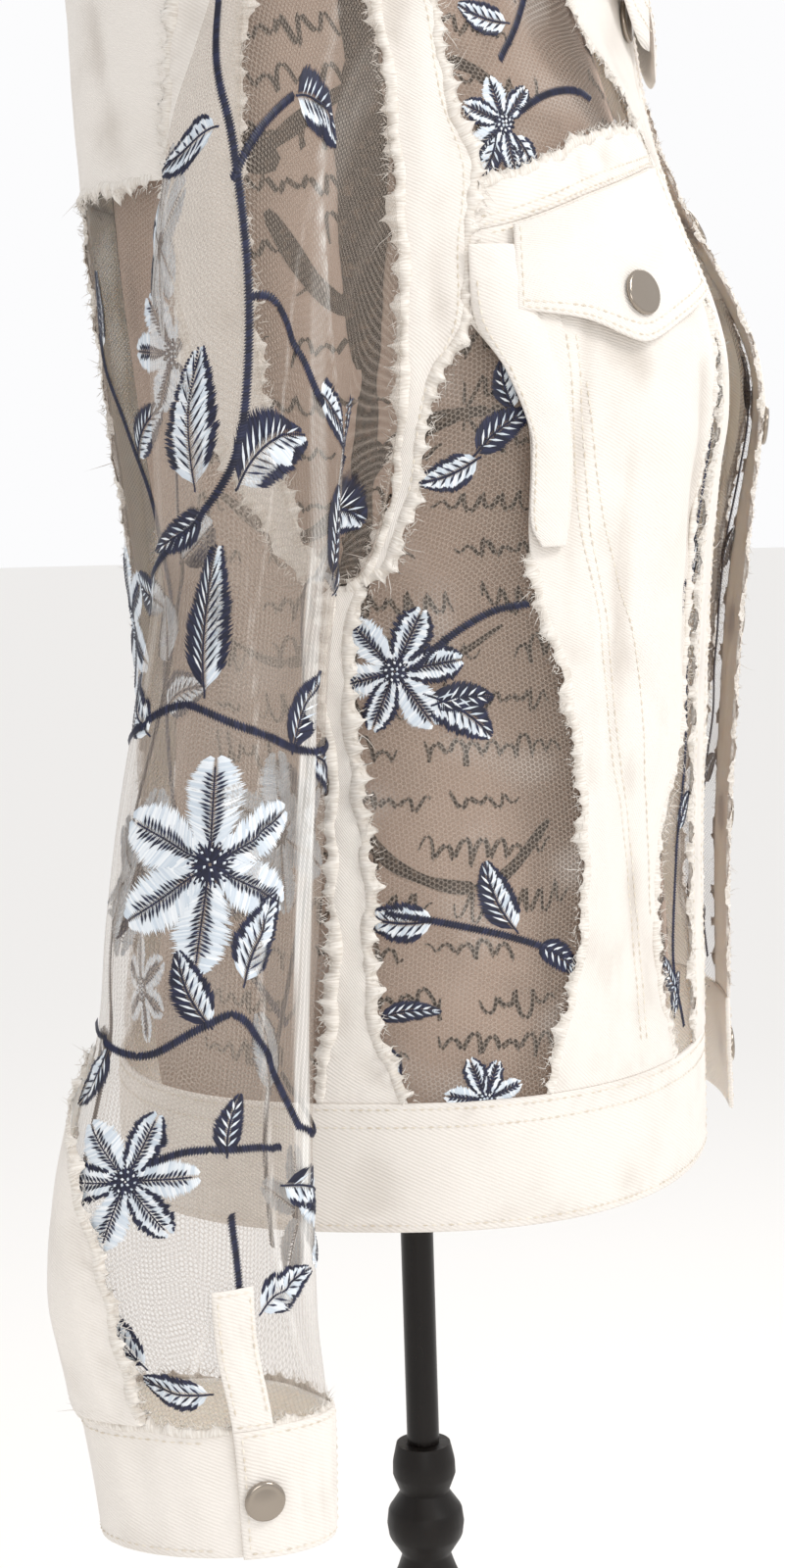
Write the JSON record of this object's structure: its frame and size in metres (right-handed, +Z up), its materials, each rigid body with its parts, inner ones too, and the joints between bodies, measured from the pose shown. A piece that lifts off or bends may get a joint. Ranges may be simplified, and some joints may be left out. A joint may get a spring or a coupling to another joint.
{
  "type": "denim jacket on a limbless dress form with a stand",
  "caption": "Cropped open-front jacket of denim pieces with frayed edges and sheer embroidered net panels, worn by a limbless dress form on a turned stand.",
  "frame": {"origin": "centre of the round base's underside, on the pole's axis", "axes": "+Z up; -Y is the jacket's front; -X is the wearer's right side"},
  "size_m": [0.525, 0.36, 1.4873],
  "materials": {
    "denim": "matt cream cotton twill",
    "net": "sheer nylon net",
    "snap_metal": "polished gunmetal",
    "form_cover": "printed tan cotton",
    "pole_metal": "gloss black",
    "black_wood": "satin black paint"
  },
  "bodies": {
    "root": {"right_placket": "denim", "right_front_panel": "denim", "right_chest_band": "denim", "right_arm_strip_front": "denim", "right_arm_strip_back": "denim", "right_side_strip": "denim", "right_pocket_flap": "denim", "right_sleeve_strip": "denim", "right_sleeve_tab": "denim", "right_cuff": "denim", "right_cuff_tab": "denim", "right_front_net": "net", "right_yoke_net": "net", "right_side_net": "net", "right_back_net": "net", "right_sleeve_net": "net", "right_pocket_snap": "snap_metal", "right_cuff_snap": "snap_metal", "left_placket": "denim", "left_front_panel": "denim", "left_chest_band": "denim", "left_arm_strip_front": "denim", "left_arm_strip_back": "denim", "left_side_strip": "denim", "left_pocket_flap": "denim", "left_sleeve_strip": "denim", "left_sleeve_tab": "denim", "left_cuff": "denim", "left_cuff_tab": "denim", "left_front_net": "net", "left_yoke_net": "net", "left_side_net": "net", "left_back_net": "net", "left_sleeve_net": "net", "left_pocket_snap": "snap_metal", "left_cuff_snap": "snap_metal", "back_yoke": "denim", "back_panel": "denim", "waistband": "denim", "collar": "denim", "collar_snap": "snap_metal", "placket_snap_1": "snap_metal", "placket_snap_2": "snap_metal", "placket_snap_3": "snap_metal", "placket_snap_4": "snap_metal", "waistband_snap": "snap_metal", "torso_form": "form_cover", "neck_cap": "black_wood", "pole": "pole_metal", "turned_post": "black_wood", "round_base": "black_wood"}
  },
  "joints": []
}
